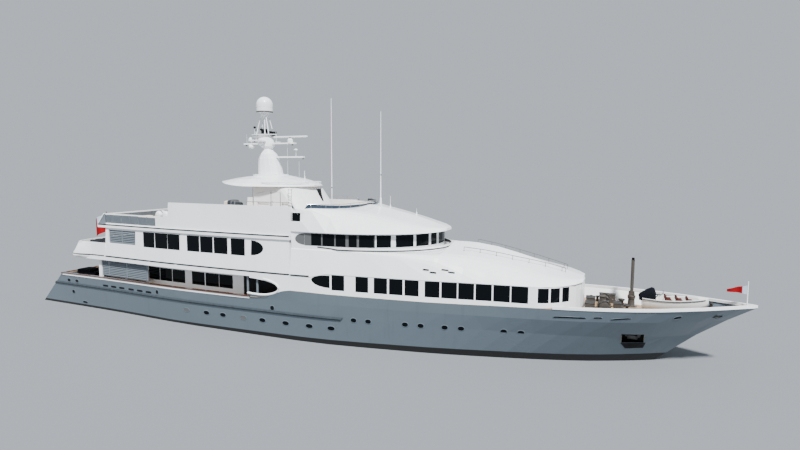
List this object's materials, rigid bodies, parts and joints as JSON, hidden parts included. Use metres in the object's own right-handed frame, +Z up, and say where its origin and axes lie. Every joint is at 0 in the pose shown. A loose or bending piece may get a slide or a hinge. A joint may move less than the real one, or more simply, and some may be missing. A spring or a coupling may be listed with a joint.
{
  "type": "three-deck motor yacht, 1:2 scale model",
  "caption": "Motor yacht afloat, raked stem, full-beam forward decks, wheelhouse, sundeck house with hardtop and mast; rudders, propellers, fins, crane, radar and doors move.",
  "frame": {"origin": "amidships on the centreline, at the waterline", "axes": "+X forward to the bow, +Y to port, +Z up"},
  "size_m": [30, 6.061, 11.19],
  "materials": {
    "hull_paint": "metallic gloss",
    "white_paint": "gloss",
    "dark_glass": "polished, tinted dark",
    "varnish": "gloss varnish",
    "strake_rubber": "matte",
    "louvre_paint": "satin",
    "bronze": "polished",
    "antifouling": "matte",
    "stainless": "brushed",
    "teak": "bare",
    "tender_hull": "matte",
    "dark_cushion": "woven",
    "white_plastic": "gloss"
  },
  "bodies": {
    "root": {"aft_cap_rail": "varnish", "aft_deck_seat": "dark_cushion", "anchor_port": "bronze", "anchor_starboard": "bronze", "bow_cap_rail": "white_paint", "bridge_deck_screen": "louvre_paint", "bridge_deck_slab": "white_paint", "crane_pedestal": "white_paint", "ensign_staff": "varnish", "forward_hood": "white_paint", "hardtop": "white_paint", "hull": "hull_paint", "jackstaff": "white_plastic", "liferafts_port": "white_paint", "liferafts_starboard": "white_paint", "main_deck_forward_glass": "dark_glass", "main_deck_forward_plating": "white_paint", "main_deck_house": "white_paint", "main_deck_house_glass": "dark_glass", "main_deck_louvre_port": "louvre_paint", "main_deck_louvre_starboard": "louvre_paint", "mast_lower": "white_paint", "mast_upper": "white_paint", "radome": "white_plastic", "radome_stand": "stainless", "rubbing_strake_port": "strake_rubber", "rubbing_strake_starboard": "strake_rubber", "sundeck_coaming": "white_paint", "sundeck_floor": "teak", "sundeck_house": "white_paint", "tender": "tender_hull", "tender_chocks": "teak", "upper_deck_glass": "dark_glass", "upper_deck_louvre_port": "louvre_paint", "upper_deck_louvre_starboard": "louvre_paint", "upper_deck_plating": "white_paint", "upper_deck_slab": "white_paint", "upper_stern_bulwark": "white_paint", "wheelhouse": "white_paint", "wheelhouse_brow": "white_paint", "wheelhouse_glass": "dark_glass", "whip_antenna_aft": "white_plastic", "whip_antenna_forward": "white_plastic", "windlass_port": "stainless", "windlass_starboard": "stainless"},
    "rudder_port": {"rudder_port": "antifouling"},
    "rudder_starboard": {"rudder_starboard": "antifouling"},
    "propeller_port": {"propeller_port": "bronze"},
    "propeller_starboard": {"propeller_starboard": "bronze"},
    "fin_port": {"stabiliser_fin_port": "antifouling"},
    "fin_starboard": {"stabiliser_fin_starboard": "antifouling"},
    "radar": {"radar_scanner": "white_plastic"},
    "crane_head": {"crane_head": "stainless"},
    "crane_boom": {"crane_boom": "stainless"},
    "salon_door_port": {"salon_door_port": "dark_glass"},
    "salon_door_starboard": {"salon_door_starboard": "dark_glass"},
    "sundeck_door_port": {"sundeck_door_port": "white_paint"},
    "sundeck_door_starboard": {"sundeck_door_starboard": "white_paint"}
  },
  "joints": [
    {"name": "rudder_port_turn", "type": "hinge", "parent": "root", "child": "rudder_port", "pos_m": [-13.15, 1.075, -0.55], "axis": [0, 0, 1], "range_deg": [-35, 35]},
    {"name": "propeller_port_spin", "type": "hinge", "parent": "root", "child": "propeller_port", "pos_m": [-12.2, 1.075, -1.075], "axis": [1, 0, 0], "continuous": true},
    {"name": "fin_port_tilt", "type": "hinge", "parent": "root", "child": "fin_port", "pos_m": [0.5, 2.475, -1.125], "axis": [0, 0.7431, -0.6691], "range_deg": [-20, 20]},
    {"name": "salon_door_port_hinge", "type": "hinge", "parent": "root", "child": "salon_door_port", "pos_m": [-8.495, 0.475, 1.025], "axis": [0, 0, 1], "range_deg": [-90, 0]},
    {"name": "sundeck_door_port_hinge", "type": "hinge", "parent": "root", "child": "sundeck_door_port", "pos_m": [-1.7, 1.495, 4.5], "axis": [0, 0, 1], "range_deg": [-90, 0]},
    {"name": "rudder_starboard_turn", "type": "hinge", "parent": "root", "child": "rudder_starboard", "pos_m": [-13.15, -1.075, -0.55], "axis": [0, 0, 1], "range_deg": [-35, 35]},
    {"name": "propeller_starboard_spin", "type": "hinge", "parent": "root", "child": "propeller_starboard", "pos_m": [-12.2, -1.075, -1.075], "axis": [1, 0, 0], "continuous": true},
    {"name": "fin_starboard_tilt", "type": "hinge", "parent": "root", "child": "fin_starboard", "pos_m": [0.5, -2.475, -1.125], "axis": [0, -0.7431, -0.6691], "range_deg": [-20, 20]},
    {"name": "salon_door_starboard_hinge", "type": "hinge", "parent": "root", "child": "salon_door_starboard", "pos_m": [-8.495, -0.475, 1.025], "axis": [0, 0, 1], "range_deg": [0, 90]},
    {"name": "sundeck_door_starboard_hinge", "type": "hinge", "parent": "root", "child": "sundeck_door_starboard", "pos_m": [-1.7, -1.495, 4.5], "axis": [0, 0, 1], "range_deg": [0, 90]},
    {"name": "radar_spin", "type": "hinge", "parent": "root", "child": "radar", "pos_m": [-2.15, 0, 7.68], "axis": [0, 0, 1], "continuous": true},
    {"name": "crane_slew", "type": "hinge", "parent": "root", "child": "crane_head", "pos_m": [11.375, 0.95, 1.875], "axis": [0, 0, 1], "range_deg": [-170, 170]},
    {"name": "crane_luff", "type": "hinge", "parent": "crane_head", "child": "crane_boom", "pos_m": [11.375, 0.95, 2.025], "axis": [0, 1, 0], "range_deg": [0, 60]}
  ]
}
